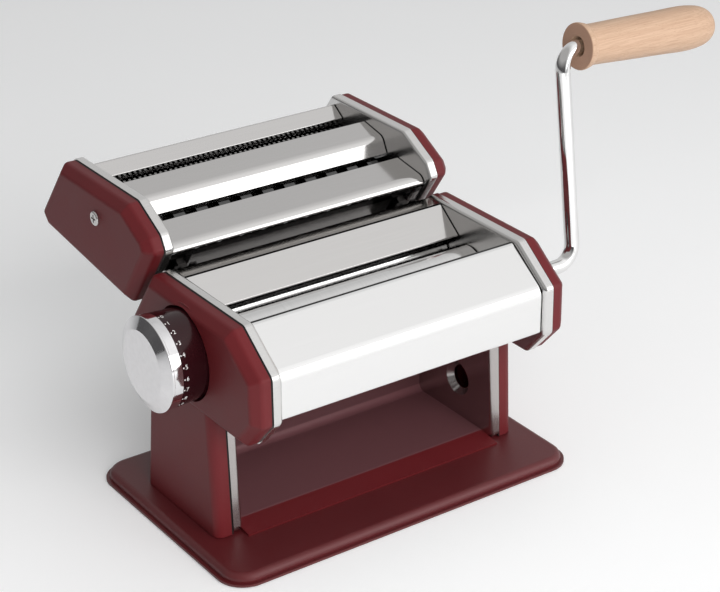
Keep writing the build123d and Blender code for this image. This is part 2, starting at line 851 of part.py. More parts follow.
# Blank of a painted cutter cap
with BuildPart() as cut_cap_hollow:
    with BuildSketch(side_plane(cut_outer)):
        with BuildLine():
            Polyline(*cut_points, close=True)
        make_face()
        offset(amount=-cover_inset - cover_wall, kind=Kind.INTERSECTION)
    extrude(amount=cut_cap_depth - cover_wall)
    chamfer(cut_cap_hollow.faces().sort_by(Axis.X)[-1].edges(), length=cover_bevel_in)

with BuildPart() as cut_cap_blank:
    with BuildSketch(side_plane(cut_outer)):
        with BuildLine():
            Polyline(*cut_points, close=True)
        make_face()
        offset(amount=-cover_inset, kind=Kind.INTERSECTION)
    extrude(amount=cut_cap_depth)
    chamfer(cut_cap_blank.faces().sort_by(Axis.X)[-1].edges(), length=cover_bevel)
    fillet(cut_cap_blank.edges().filter_by(lambda e: e.center().X > cut_outer + 0.01), radius=cover_soft)
    add(cut_cap_hollow.part, mode=Mode.SUBTRACT)
    with BuildSketch(side_plane(cut_outer)):
        with Locations((cut_tie_y, cut_tie_z)):
            Circle(screw_radius + 0.1)
    extrude(amount=cut_cap_depth + 2, mode=Mode.SUBTRACT)

with BuildPart() as cutter_left_cap:
    add(mirror(cut_cap_blank.part, about=Plane.YZ))

with BuildPart() as cutter_right_cap:
    add(cut_cap_blank.part)
    with BuildSketch(side_plane(cut_outer)):
        with Locations(cut_axes[1], cut_axes[2]):
            Circle(hub_radius + hub_fit)
    extrude(amount=cut_cap_depth + 2, mode=Mode.SUBTRACT)

# Cutter tie rod, with a threaded hole in each end
with BuildPart() as cutter_tie:
    with BuildSketch(side_plane(-cut_face + cover_wall)):
        with Locations((cut_tie_y, cut_tie_z)):
            Circle(tie_radius)
    extrude(amount=2 * (cut_face - cover_wall))
    for x in (-cut_face, cut_face - 10):
        with BuildSketch(side_plane(x)):
            with Locations((cut_tie_y, cut_tie_z)):
                Circle(screw_radius)
        extrude(amount=10, mode=Mode.SUBTRACT)

# Cross-head cap screws
with BuildPart() as screw_blank:
    with BuildSketch(side_plane(cut_face)):
        with Locations((cut_tie_y, cut_tie_z)):
            Circle(2 * screw_radius)
    extrude(amount=1.7)
    fillet(screw_blank.faces().sort_by(Axis.X)[-1].edges(), radius=0.9)
    with BuildSketch(side_plane(cut_face - 9)):
        with Locations((cut_tie_y, cut_tie_z)):
            Circle(screw_radius)
    extrude(amount=9)
    with BuildSketch(side_plane(cut_face + 0.5)):
        with Locations((cut_tie_y, cut_tie_z)):
            Rectangle(0.9, 4.2)
            Rectangle(4.2, 0.9)
    extrude(amount=2, mode=Mode.SUBTRACT)

with BuildPart() as cutter_right_screw:
    add(screw_blank.part)

with BuildPart() as cutter_left_screw:
    add(mirror(screw_blank.part, about=Plane.YZ))

# Guide sheets of the cutter
guide_t = 0.8
with BuildPart() as rear_guide:
    with BuildSketch(side_plane(-cut_half)):
        with BuildLine():
            bent([on_cutter(76.7, 16.5), on_cutter(76.2, 18.4), on_cutter(84.4, 24.0), on_cutter(111.0, -6.8),
                  on_cutter(104.4, -13.4), on_cutter(87.0, -15.6)], [0.7, 1.4, 3.0, 3.0])
            offset(amount=guide_t, side=Side.RIGHT)
        make_face()
    extrude(amount=2 * cut_half)

with BuildPart() as centre_roof:
    with BuildSketch(side_plane(-cut_half)):
        with BuildLine():
            bent([on_cutter(35.4, 11.5), on_cutter(39.5, 19.6), on_cutter(56.1, 23.0), on_cutter(56.9, 21.0)],
                 [5.0, 0.7])
            offset(amount=guide_t, side=Side.RIGHT)
        make_face()
    extrude(amount=2 * cut_half)

with BuildPart() as front_guide:
    with BuildSketch(side_plane(-cut_half)):
        with BuildLine():
            bent([on_cutter(5.4, 5.3), on_cutter(2.5, 4.6), on_cutter(4.3, 9.0), on_cutter(25.5, 12.2)],
                 [0.8, 5.2])
            offset(amount=guide_t, side=Side.RIGHT)
        make_face()
    extrude(amount=2 * cut_half)

# Apron of the cutter on the side of the machine, and its lower channel
apron_top_y = slope_top[0] + apron_lift * slope_ny
apron_top_z = slope_top[1] + apron_lift * slope_nz
apron_low = slope_low[1] + 9.6


def on_apron(z):
    return (apron_top_y + (apron_top_z - z) * slope_nz / slope_ny, z)


with BuildPart() as cutter_apron:
    with BuildSketch(side_plane(-cut_half)):
        with BuildLine():
            bent([on_apron(head_top + 3.8), on_apron(apron_low), (slope_low[0] + 2.0, apron_low + 0.2)], [1.6])
            offset(amount=guide_t, side=Side.LEFT)
        make_face()
    extrude(amount=2 * cut_half)

with BuildPart() as cutter_channel:
    with BuildSketch(side_plane(-cut_half)):
        with BuildLine():
            bent([on_cutter(40.0, -12.0), on_cutter(40.0, -21.4), on_cutter(60.0, -18.9),
                  on_cutter(60.0, -10.0)], [1.6, 1.6])
            offset(amount=guide_t, side=Side.LEFT)
        make_face()
    extrude(amount=2 * cut_half)

# Bearing strips of the cutter rollers
with BuildPart() as bearing_blank:
    for pair_y, pair_z in ((fine_y, fine_z), (wide_y, wide_z)):
        with BuildSketch(side_plane(cut_half + sheet_t)):
            with Locations((pair_y, pair_z)):
                SlotOverall(cut_centre + 15, 15)
        extrude(amount=bearing_t)
    with BuildSketch(side_plane(cut_half + sheet_t)):
        with Locations(((fine_y + wide_y) / 2, (fine_z + wide_z) / 2 - 4)):
            Rectangle(fine_y - wide_y, 5)
    extrude(amount=bearing_t)
    with BuildSketch(side_plane(cut_half)):
        with Locations(*cut_axes):
            Circle(cut_journal + run_fit)
    extrude(amount=6, mode=Mode.SUBTRACT)

with BuildPart() as cutter_bearing_right:
    add(bearing_blank.part)

with BuildPart() as cutter_bearing_left:
    add(mirror(bearing_blank.part, about=Plane.YZ))


# Ridged cutter rollers: ridges of one run in the grooves of its mate
journal_left = cut_half + sheet_t + bearing_t + 0.1
journal_right = cut_gear_in + journal_reach


def cutter_roller(cy, cz, pitch, shift, name):
    with BuildPart() as ridged:
        with BuildSketch(side_plane(-cut_roller_half)):
            with Locations((cy, cz)):
                Circle(groove_radius)
        extrude(amount=2 * cut_roller_half)
        with BuildSketch(side_plane(-journal_left)):
            with Locations((cy, cz)):
                Circle(cut_journal)
        extrude(amount=journal_left + journal_right)
        ridge = pitch / 2 - 2 * side_fit
        count = int((2 * cut_roller_half) / pitch) + 2
        for k in range(-count, count + 1):
            x0 = max(-cut_roller_half, k * pitch + shift - ridge / 2)
            x1 = min(cut_roller_half, k * pitch + shift + ridge / 2)
            if x1 - x0 > 0.3:
                with BuildSketch(side_plane(x0)):
                    with Locations((cy, cz)):
                        Circle(ridge_radius)
                extrude(amount=x1 - x0)
    ridged.part.label = name
    export_step(ridged.part, "parts/" + name + ".step")


cutter_roller(cut_axes[0][0], fine_z, fine_pitch, 0.0, "fine_roller_rear")
cutter_roller(cut_axes[1][0], fine_z, fine_pitch, fine_pitch / 2, "fine_roller_front")
cutter_roller(cut_axes[2][0], wide_z, wide_pitch, 0.0, "wide_roller_rear")
cutter_roller(cut_axes[3][0], wide_z, wide_pitch, wide_pitch / 2, "wide_roller_front")


# Cutter gears: the driven one of each pair has a crank socket in its hub
def cutter_gear(cy, cz, turn, driven, name):
    with BuildPart() as gear:
        with BuildSketch(side_plane(cut_gear_in)):
            with BuildLine():
                Polyline(*gear_points(cut_teeth, cut_module, 1.15, 1.4, 0.25, turn, cy, cz), close=True)
            make_face()
        extrude(amount=cut_gear_t)
        if driven:
            with BuildSketch(side_plane(cut_gear_in + cut_gear_t)):
                with Locations((cy, cz)):
                    Circle(hub_radius)
            extrude(amount=cut_face - cut_gear_in - cut_gear_t)
            with BuildSketch(side_plane(journal_right + socket_floor)):
                dee(rod_radius + socket_fit, rod_flat + socket_fit, cy, cz)
            extrude(amount=10, mode=Mode.SUBTRACT)
        with BuildSketch(side_plane(cut_gear_in)):
            with Locations((cy, cz)):
                Circle(cut_journal)
        extrude(amount=journal_reach, mode=Mode.SUBTRACT)
    gear.part.label = name
    export_step(gear.part, "parts/" + name + ".step")


cut_mesh = pi / cut_teeth
cutter_gear(cut_axes[0][0], fine_z, pi + cut_mesh, False, "fine_gear_rear")
cutter_gear(cut_axes[1][0], fine_z, 0.0, True, "fine_gear_front")
cutter_gear(cut_axes[2][0], wide_z, pi + cut_mesh, True, "wide_gear_rear")
cutter_gear(cut_axes[3][0], wide_z, 0.0, False, "wide_gear_front")


# Rails on the rear panel and hooks on the cutter apron
def slope_plane(x, along):
    # Plane on the rear panel: local y runs down the slope, normal points to the cutter
    return Plane(origin=(x, panel_top[0] + along * slope_nz, panel_top[1] - along * slope_ny),
                 x_dir=(1, 0, 0), z_dir=(0, slope_ny, slope_nz))


def rail(x, name):
    with BuildPart() as channel:
        with BuildSketch(slope_plane(x, rail_start + rail_length / 2)):
            Rectangle(rail_width, rail_length)
        extrude(amount=rail_height)
        with BuildSketch(slope_plane(x, rail_start + rail_length / 2 - rail_wall).offset(rail_wall)):
            Rectangle(rail_width - 2 * rail_wall, rail_length)
        extrude(amount=rail_height - 2 * rail_wall, mode=Mode.SUBTRACT)
        with BuildSketch(slope_plane(x, rail_start + rail_length / 2 - rail_wall).offset(rail_wall)):
            Rectangle(rail_slot, rail_length)
        extrude(amount=rail_height, mode=Mode.SUBTRACT)
    channel.part.label = name
    export_step(channel.part, "parts/" + name + ".step")


def hook(x, name):
    with BuildPart() as tee:
        middle = rail_start + rail_length - rail_wall - slide_fit - hook_length / 2
        with BuildSketch(slope_plane(x, middle).offset(rail_wall + slide_fit)):
            Rectangle(rail_width - 2 * rail_wall - 2 * slide_fit, hook_length)
        extrude(amount=rail_height - 2 * rail_wall - 2 * slide_fit)
        with BuildSketch(slope_plane(x, middle).offset(rail_wall + slide_fit)):
            Rectangle(rail_slot - 2 * slide_fit, hook_length)
        extrude(amount=panel_inset + apron_lift - rail_wall - slide_fit)
    tee.part.label = name
    export_step(tee.part, "parts/" + name + ".step")


rail(-rail_x, "rail_left")
rail(rail_x, "rail_right")
hook(-rail_x, "hook_left")
hook(rail_x, "hook_right")

pieces = [(left_plate, "left_plate"), (right_plate, "right_plate"), (left_cover, "left_cover"),
          (right_cover, "right_cover"), (base_tray, "base_tray"), (floor_panel, "floor_panel"),
          (front_hood, "front_hood"), (rear_chute, "rear_chute"), (bush_left, "bush_left"),
          (bush_right, "bush_right"), (crank_bush, "crank_bush"), (drive_roller, "drive_roller"),
          (drive_gear, "drive_gear"), (driven_gear, "driven_gear"), (adjust_roller, "adjust_roller"),
          (adjust_gear, "adjust_gear"), (crank_socket, "crank_socket"), (slider_left, "slider_left"),
          (slider_right, "slider_right"), (slider_bar, "slider_bar"), (regulator_shaft, "regulator_shaft"),
          (knob_barrel, "knob_barrel"), (knob_cap, "knob_cap"), (index_pin, "index_pin"),
          (crank_rod, "crank_rod"), (grip, "grip"), (cutter_left_plate, "cutter_left_plate"),
          (cutter_right_plate, "cutter_right_plate"), (cutter_left_cap, "cutter_left_cap"),
          (cutter_right_cap, "cutter_right_cap"), (cutter_tie, "cutter_tie"),
          (cutter_left_screw, "cutter_left_screw"), (cutter_right_screw, "cutter_right_screw"),
          (rear_guide, "rear_guide"), (centre_roof, "centre_roof"), (front_guide, "front_guide"),
          (cutter_apron, "cutter_apron"), (cutter_channel, "cutter_channel"),
          (cutter_bearing_left, "cutter_bearing_left"), (cutter_bearing_right, "cutter_bearing_right")]
for piece, piece_name in pieces:
    piece.part.label = piece_name
    export_step(piece.part, "parts/" + piece_name + ".step")
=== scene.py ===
import json
import math

import bmesh
import bpy
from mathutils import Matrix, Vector


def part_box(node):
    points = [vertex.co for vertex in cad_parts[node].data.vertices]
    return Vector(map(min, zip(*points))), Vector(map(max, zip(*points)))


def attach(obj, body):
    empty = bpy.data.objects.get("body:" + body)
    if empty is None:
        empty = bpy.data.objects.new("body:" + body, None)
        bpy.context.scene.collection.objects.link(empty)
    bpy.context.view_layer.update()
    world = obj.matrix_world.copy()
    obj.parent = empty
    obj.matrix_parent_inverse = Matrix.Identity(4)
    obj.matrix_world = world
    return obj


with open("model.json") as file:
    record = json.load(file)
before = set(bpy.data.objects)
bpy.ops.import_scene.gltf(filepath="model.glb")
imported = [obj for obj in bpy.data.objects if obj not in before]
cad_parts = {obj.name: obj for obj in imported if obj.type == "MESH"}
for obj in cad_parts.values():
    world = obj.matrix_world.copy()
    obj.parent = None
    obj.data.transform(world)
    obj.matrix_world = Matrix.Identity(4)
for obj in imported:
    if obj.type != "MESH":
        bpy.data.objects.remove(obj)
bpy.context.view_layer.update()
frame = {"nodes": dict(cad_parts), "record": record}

MM = 0.001


# Places on the machine, read from the frame, in metres
def axis_along_x(node):
    # Point of a round piece's axis on the middle plane
    low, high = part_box(node)
    return Vector((0.0, (low.y + high.y) / 2, (low.z + high.z) / 2))


barrel_outer_corner, barrel_inner_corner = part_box("knob_barrel")
knob_axis = axis_along_x("knob_barrel")
barrel_in = barrel_inner_corner.x
barrel_length = barrel_inner_corner.x - barrel_outer_corner.x
barrel_flare = 1.0 * MM
barrel_radius = (barrel_inner_corner.y - barrel_outer_corner.y) / 2 - barrel_flare
joint_axes = {joint["name"]: joint["axis"] for joint in frame["record"]["behaviour"]["joints"]}
grip_line = Vector(joint_axes["grip_spin"])

# Numbers on the knob: the first one's angle and the step between two, in degrees, and sizes in metres
number_count = 10
first_number = 87.0
number_step = 14.5
number_height = 2.9 * MM
number_from_rim = 2.5 * MM
tick_start = -1.95 * MM
tick_end = -1.35 * MM
tick_half_width = 0.3 * MM
ink_lift = 0.03 * MM
ink_thickness = 0.04 * MM

# Cutter rollers: radii that the painted shade in the grooves runs between, and each one's tone.
# The rear ones get a dark tone, painted shade for their place in shadow in their slots.
groove_radius = 7.6 * MM
ridge_radius = 8.3 * MM
cutter_tones_and_shade = {"fine_roller_front": 0.86, "fine_roller_rear": 0.16,
                "wide_roller_front": 0.86, "wide_roller_rear": 0.12}


def rgb(red, green, blue):
    return red, green, blue, 1.0


white = rgb(1.0, 1.0, 1.0)
# Near-black for dark joint lines, and painted shade on parts of pieces that sit in shadow
joint_and_shade_black = rgb(0.008, 0.007, 0.007)
# Painted shade in the grooves of the cutter rollers
groove_shade_black = rgb(0.01, 0.01, 0.01)
even = (1.0, 1.0, 1.0)
across_x = (0.0, 1.0, 1.0)


# Shader tree helpers
def knot(tree, kind, settings=None, **sockets):
    node = tree.nodes.new(kind)
    for key, value in (settings or {}).items():
        setattr(node, key, value)
    for key, value in sockets.items():
        feed(tree, value, node.inputs[key.replace("_", " ")])
    return node


def feed(tree, value, socket):
    if isinstance(value, bpy.types.NodeSocket):
        tree.links.new(value, socket)
    else:
        socket.default_value = value


def sums(tree, operation, *values):
    node = tree.nodes.new("ShaderNodeMath")
    node.operation = operation
    for value, socket in zip(values, node.inputs):
        feed(tree, value, socket)
    return node.outputs[0]


def mixed(tree, share, low, high):
    # A colour Mix node has its share at input 0, and its colours at 6 and 7
    node = tree.nodes.new("ShaderNodeMix")
    node.data_type = "RGBA"
    for value, index in ((share, 0), (low, 6), (high, 7)):
        feed(tree, value, node.inputs[index])
    return node.outputs[2]


def spread(tree, value, low, high, start=0.0, end=1.0):
    node = knot(tree, "ShaderNodeMapRange", None, Value=value, From_Min=low, From_Max=high)
    feed(tree, start, node.inputs["To Min"])
    feed(tree, end, node.inputs["To Max"])
    return node.outputs[0]


def stretched(tree, scale):
    # Object coordinates with a stretch of their own along each axis
    place = tree.nodes.new("ShaderNodeTexCoord")
    node = tree.nodes.new("ShaderNodeVectorMath")
    node.operation = "MULTIPLY"
    tree.links.new(place.outputs["Object"], node.inputs[0])
    feed(tree, scale, node.inputs[1])
    return node.outputs[0]


def from_axis(tree, axis_point):
    # Distance from an axis along X
    away = knot(tree, "ShaderNodeVectorMath", {"operation": "DISTANCE"})
    tree.links.new(stretched(tree, across_x), away.inputs[0])
    tree.links.new(axis_point, away.inputs[1])
    return away.outputs["Value"]


def cloud(tree, vector, scale, detail=3.0, rough=0.5):
    return knot(tree, "ShaderNodeTexNoise", None, Vector=vector, Scale=scale, Detail=detail,
                Roughness=rough).outputs["Fac"]


def new_group(name, inputs, outputs):
    tree = bpy.data.node_groups.new(name, "ShaderNodeTree")
    for label, kind, value in inputs:
        socket = tree.interface.new_socket(label, in_out="INPUT", socket_type="NodeSocket" + kind)
        socket.default_value = value
    for label, kind in outputs:
        tree.interface.new_socket(label, in_out="OUTPUT", socket_type="NodeSocket" + kind)
    return tree, tree.nodes.new("NodeGroupInput").outputs, tree.nodes.new("NodeGroupOutput").inputs


# Rolled or drawn metal: fine lines one way, with cloudy handling marks
def build_metal_lines():
    tree, given, out = new_group("metal_lines", [
        ("Stretch", "Vector", (40.0, 2500.0, 2500.0)), ("Bright", "Color", white), ("Dull", "Color", white),
        ("Smooth", "Float", 0.1), ("Rough", "Float", 0.2), ("Smudge", "Float", 0.04)],
        [("Colour", "Color"), ("Roughness", "Float"), ("Height", "Float")])
    lines = cloud(tree, stretched(tree, given["Stretch"]), 1.0, detail=3.0, rough=0.6)
    marks = cloud(tree, stretched(tree, even), 38.0, detail=5.0, rough=0.62)
    lined = spread(tree, lines, 0.3, 0.7, given["Smooth"], given["Rough"])
    wiped = sums(tree, "MULTIPLY", sums(tree, "SUBTRACT", marks, 0.5), given["Smudge"])
    tree.links.new(sums(tree, "MAXIMUM", sums(tree, "ADD", lined, wiped), 0.02), out["Roughness"])
    tone = spread(tree, lines, 0.3, 0.7)
    tree.links.new(mixed(tree, tone, given["Dull"], given["Bright"]), out["Colour"])
    tree.links.new(lines, out["Height"])
    return tree


# Sprayed and moulded skins: fine pebble, soft tone drift and a roughness drift
def build_skin():
    tree, given, out = new_group("skin", [
        ("Colour", "Color", white), ("Shade", "Color", white), ("Pebble", "Float", 900.0),
        ("Smooth", "Float", 0.35), ("Rough", "Float", 0.45)],
        [("Colour", "Color"), ("Roughness", "Float"), ("Height", "Float")])
    place = stretched(tree, even)
    pebble = cloud(tree, place, given["Pebble"], detail=2.0, rough=0.5)
    drift = cloud(tree, place, 22.0, detail=4.0, rough=0.55)
    speck = cloud(tree, place, 2600.0, detail=1.0, rough=0.5)
    tone = sums(tree, "ADD", sums(tree, "MULTIPLY", drift, 0.75), sums(tree, "MULTIPLY", speck, 0.25))
    toned = spread(tree, tone, 0.35, 0.65)
    tree.links.new(mixed(tree, toned, given["Shade"], given["Colour"]), out["Colour"])
    tree.links.new(spread(tree, drift, 0.3, 0.7, given["Smooth"], given["Rough"]), out["Roughness"])
    tree.links.new(pebble, out["Height"])
    return tree


# Lines left by turning, in rings about an axis along X
def build_turned_rings():
    tree, given, out = new_group("turned_rings", [
        ("Axis point", "Vector", (0.0, 0.0, 0.0)), ("Pitch", "Float", 6000.0)], [("Height", "Float")])
    ring = tree.nodes.new("ShaderNodeCombineXYZ")
    turns = sums(tree, "MULTIPLY", from_axis(tree, given["Axis point"]), given["Pitch"])
    tree.links.new(turns, ring.inputs["X"])
    tree.links.new(cloud(tree, ring.outputs[0], 1.0, detail=2.0, rough=0.6), out["Height"])
    return tree


# Colour inside a box, alike on both sides of the middle plane: a dark joint line, painted shade on a part of
# a piece that less light reaches, painted sheen on inner faces, and a painted darker reflection on the
# pillars' rims
def build_zone():
    tree, given, out = new_group("zone", [
        ("Colour", "Color", white), ("Inside", "Color", white), ("Low", "Vector", (0.0, 0.0, 0.0)),
        ("High", "Vector", (1.0, 1.0, 1.0))], [("Colour", "Color")])
    place = knot(tree, "ShaderNodeSeparateXYZ", None, Vector=stretched(tree, even)).outputs
    low = knot(tree, "ShaderNodeSeparateXYZ", None, Vector=given["Low"]).outputs
    high = knot(tree, "ShaderNodeSeparateXYZ", None, Vector=given["High"]).outputs
    inside = 1.0
    for axis in ("X", "Y", "Z"):
        along = sums(tree, "ABSOLUTE", place["X"]) if axis == "X" else place[axis]
        inside = sums(tree, "MULTIPLY", inside, sums(tree, "GREATER_THAN", along, low[axis]))
        inside = sums(tree, "MULTIPLY", inside, sums(tree, "LESS_THAN", along, high[axis]))
    tree.links.new(mixed(tree, inside, given["Colour"], given["Inside"]), out["Colour"])
    return tree


# Shade in the grooves of a roller, below a radius about its axis
def build_groove_shade():
    tree, given, out = new_group("groove_shade", [
        ("Colour", "Color", white), ("Axis point", "Vector", (0.0, 0.0, 0.0)), ("Floor", "Float", 0.006),
        ("Top", "Float", 0.008)], [("Colour", "Color")])
    lit = spread(tree, from_axis(tree, given["Axis point"]), given["Floor"], given["Top"])
    tree.links.new(mixed(tree, lit, groove_shade_black, given["Colour"]), out["Colour"])
    return tree


metal_lines = build_metal_lines()
skin = build_skin()
turned_rings = build_turned_rings()
zone = build_zone()
groove_shade = build_groove_shade()


def group_node(tree, group, **values):
    node = tree.nodes.new("ShaderNodeGroup")
    node.node_tree = group
    for key, value in values.items():
        feed(tree, value, node.inputs[key.replace("_", " ")])
    return node.outputs


def finish_named(name):
    finish = bpy.data.materials.new(name)
    finish.use_nodes = True
    return finish, finish.node_tree, finish.node_tree.nodes["Principled BSDF"].inputs


def raised(tree, shader, height, depth, strength=1.0):
    bump = knot(tree, "ShaderNodeBump", None, Height=height, Strength=strength, Distance=depth)
    tree.links.new(bump.outputs["Normal"], shader["Normal"])


def tinted(tree, shader, colour, zones):
    for low, high, inside in zones:
        colour = group_node(tree, zone, Colour=colour, Inside=inside, Low=low, High=high)["Colour"]
    tree.links.new(colour, shader["Base Color"])


# Kinds of finish
def metal(name, stretch, bright, dull, smooth, rough, smudge, depth, zones=()):
    finish, tree, shader = finish_named(name)
    lines = group_node(tree, metal_lines, Stretch=stretch, Bright=bright, Dull=dull, Smooth=smooth,
                       Rough=rough, Smudge=smudge)
    shader["Metallic"].default_value = 1.0
    tinted(tree, shader, lines["Colour"], zones)
    tree.links.new(lines["Roughness"], shader["Roughness"])
    raised(tree, shader, lines["Height"], depth)
    return finish


def coated(name, colour, shade, pebble, smooth, rough, depth, coat=0.0, coat_rough=0.05, sheen=0.5,
           zones=()):
    finish, tree, shader = finish_named(name)
    outer = group_node(tree, skin, Colour=colour, Shade=shade, Pebble=pebble, Smooth=smooth, Rough=rough)
    tinted(tree, shader, outer["Colour"], zones)
    tree.links.new(outer["Roughness"], shader["Roughness"])
    shader["Coat Weight"].default_value = coat
    shader["Coat Roughness"].default_value = coat_rough
    shader["Specular IOR Level"].default_value = sheen
    raised(tree, shader, outer["Height"], depth)
    return finish


# Lines along X on rolled sheet, and round a piece that is turned about X
plate_stretch = (25.0, 2600.0, 2600.0)
sheet_stretch = (18.0, 2200.0, 2200.0)
turned_stretch = (5200.0, 30.0, 30.0)


def burgundy(name, zones=()):
    return coated(name, rgb(0.125, 0.0108, 0.0138), rgb(0.110, 0.0092, 0.0118), pebble=1100.0,
                  smooth=0.46, rough=0.52, depth=0.04 * MM, sheen=0.36, zones=zones)


def tray_burgundy():
    # The flat tray has more sheen than the upright covers
    return coated("tray_burgundy", rgb(0.096, 0.0098, 0.0122), rgb(0.084, 0.0084, 0.0104), pebble=1100.0,
                  smooth=0.42, rough=0.48, depth=0.04 * MM, sheen=0.62)


def bright_steel(name, zones=()):
    return metal(name, plate_stretch, rgb(0.94, 0.935, 0.93), rgb(0.92, 0.915, 0.91), smooth=0.13,
                 rough=0.15, smudge=0.03, depth=0.0001 * MM, zones=zones)


def rim_steel(name, zones=()):
    return metal(name, plate_stretch, rgb(0.80, 0.79, 0.78), rgb(0.74, 0.73, 0.72), smooth=0.2,
                 rough=0.26, smudge=0.05, depth=0.0002 * MM, zones=zones)


def sheet_steel(name, zones=()):
    return metal(name, sheet_stretch, rgb(0.69, 0.675, 0.665), rgb(0.67, 0.655, 0.645), smooth=0.13,
                 rough=0.145, smudge=0.03, depth=0.0002 * MM, zones=zones)


def shadow_steel():
    return metal("shadow_steel", sheet_stretch, rgb(0.07, 0.066, 0.064), rgb(0.05, 0.047, 0.046),
                 smooth=0.3, rough=0.4, smudge=0.04, depth=0.0004 * MM)


def roller_alloy():
    return metal("roller_alloy", turned_stretch, rgb(0.86, 0.855, 0.85), rgb(0.77, 0.765, 0.76),
                 smooth=0.1, rough=0.16, smudge=0.05, depth=0.0008 * MM)


def gear_steel():
    return metal("gear_steel", turned_stretch, rgb(0.42, 0.41, 0.40), rgb(0.30, 0.29, 0.28),
                 smooth=0.3, rough=0.45, smudge=0.05, depth=0.006 * MM)


def chrome():
    return metal("chrome", (60.0, 60.0, 60.0), rgb(0.92, 0.915, 0.91), rgb(0.86, 0.855, 0.85),
                 smooth=0.03, rough=0.06, smudge=0.02, depth=0.002 * MM)


def knob_gloss():
    return coated("knob_gloss", rgb(0.022, 0.0035, 0.005), rgb(0.016, 0.0025, 0.004), pebble=700.0,
                  smooth=0.14, rough=0.22, depth=0.01 * MM, coat=0.12, coat_rough=0.08, sheen=0.28)


def bearing_nylon():
    return coated("bearing_nylon", rgb(0.05, 0.05, 0.05), rgb(0.035, 0.035, 0.036), pebble=1500.0,
                  smooth=0.4, rough=0.55, depth=0.03 * MM)


def foot_rubber():
    return coated("foot_rubber", rgb(0.025, 0.025, 0.026), rgb(0.016, 0.016, 0.017), pebble=1800.0,
                  smooth=0.7, rough=0.85, depth=0.05 * MM)


def number_white():
    return coated("number_white", rgb(0.86, 0.85, 0.83), rgb(0.78, 0.77, 0.75), pebble=3000.0,
                  smooth=0.4, rough=0.5, depth=0.01 * MM)


# Beech: wide soft rings, fine fibres, short flecks, and a darker end grain at the rod
def beech():
    finish, tree, shader = finish_named("beech")
    grain_place = stretched(tree, (9.0, 160.0, 160.0))
    fibre_place = stretched(tree, (45.0, 2200.0, 2200.0))
    fleck_place = stretched(tree, (220.0, 1700.0, 1700.0))
    sway = cloud(tree, grain_place, 0.5, detail=3.0, rough=0.5)
    bands = knot(tree, "ShaderNodeTexWave", {"wave_type": "RINGS", "rings_direction": "X"},
                 Vector=grain_place, Scale=0.42, Distortion=2.6, Detail=2.0).outputs["Fac"]
    fibre = cloud(tree, fibre_place, 1.0, detail=3.0, rough=0.6)
    flecks = knot(tree, "ShaderNodeTexVoronoi", None, Vector=fleck_place, Scale=1.0).outputs["Distance"]
    pale = mixed(tree, bands, rgb(0.56, 0.372, 0.255), rgb(0.60, 0.41, 0.285))
    warm = mixed(tree, spread(tree, sway, 0.35, 0.7, 0.0, 0.5), pale, rgb(0.57, 0.38, 0.262))
    lined = mixed(tree, spread(tree, fibre, 0.35, 0.6, 0.5, 0.0), warm, rgb(0.40, 0.245, 0.155))
    dotted = mixed(tree, spread(tree, flecks, 0.05, 0.25, 0.6, 0.0), lined, rgb(0.36, 0.205, 0.12))
    facing = knot(tree, "ShaderNodeVectorMath", {"operation": "DOT_PRODUCT"})
    normal = tree.nodes.new("ShaderNodeTexCoord")
    tree.links.new(normal.outputs["Normal"], facing.inputs[0])
    facing.inputs[1].default_value = -grip_line
    end_grain = spread(tree, facing.outputs["Value"], 0.75, 0.95)
    end_tone = mixed(tree, fibre, rgb(0.38, 0.215, 0.145), rgb(0.50, 0.30, 0.205))
    tree.links.new(mixed(tree, end_grain, dotted, end_tone), shader["Base Color"])
    tree.links.new(spread(tree, fibre, 0.2, 0.8, 0.58, 0.44), shader["Roughness"])
    raised(tree, shader, fibre, 0.03 * MM, strength=0.5)
    return finish


# Turned face of the knob's cap
def knob_chrome():
    finish, tree, shader = finish_named("knob_chrome")
    lines = group_node(tree, metal_lines, Stretch=(300.0, 300.0, 300.0), Bright=rgb(0.88, 0.87, 0.88),
                       Dull=rgb(0.82, 0.81, 0.82), Smooth=0.04, Rough=0.09, Smudge=0.03)
    rings = group_node(tree, turned_rings, Axis_point=knob_axis, Pitch=5200.0)
    shader["Metallic"].default_value = 1.0
    tree.links.new(lines["Colour"], shader["Base Color"])
    tree.links.new(lines["Roughness"], shader["Roughness"])
    raised(tree, shader, rings["Height"], 0.004 * MM)
    return finish


# Cutter roller: bright ridges, with painted shade darkening the grooves
def cutter_alloy(node, tone):
    finish, tree, shader = finish_named(node + "_alloy")
    dull = 0.9 * tone
    lines = group_node(tree, metal_lines, Stretch=turned_stretch, Bright=rgb(tone, tone, tone),
                       Dull=rgb(dull, dull, dull), Smooth=0.12, Rough=0.18, Smudge=0.05)
    shaded = group_node(tree, groove_shade, Colour=lines["Colour"], Axis_point=axis_along_x(node),
                        Floor=groove_radius, Top=ridge_radius)
    shader["Metallic"].default_value = 1.0
    tree.links.new(shaded["Colour"], shader["Base Color"])
    tree.links.new(lines["Roughness"], shader["Roughness"])
    raised(tree, shader, lines["Height"], 0.0008 * MM)
    return finish


# Finish of each material slot
finishes = {
    "burgundy_paint": burgundy("burgundy_paint"),
    "polished_steel": bright_steel("polished_steel"),
    "satin_steel": sheet_steel("satin_steel"),
    "roller_alloy": roller_alloy(),
    "gear_steel": gear_steel(),
    "chrome": chrome(),
    "knob_gloss": knob_gloss(),
    "bearing_nylon": bearing_nylon(),
    "beech": beech(),
    "foot_rubber": foot_rubber(),
}
for piece in frame["record"]["subparts"]:
    frame["nodes"][piece["node"]].data.materials[0] = finishes[piece["material_slot"]]


# Joint lines, as slabs between two distances from the middle plane
def joint_line(start, end):
    far = 0.5
    return (start, -far, -far), (end, far, far), joint_and_shade_black


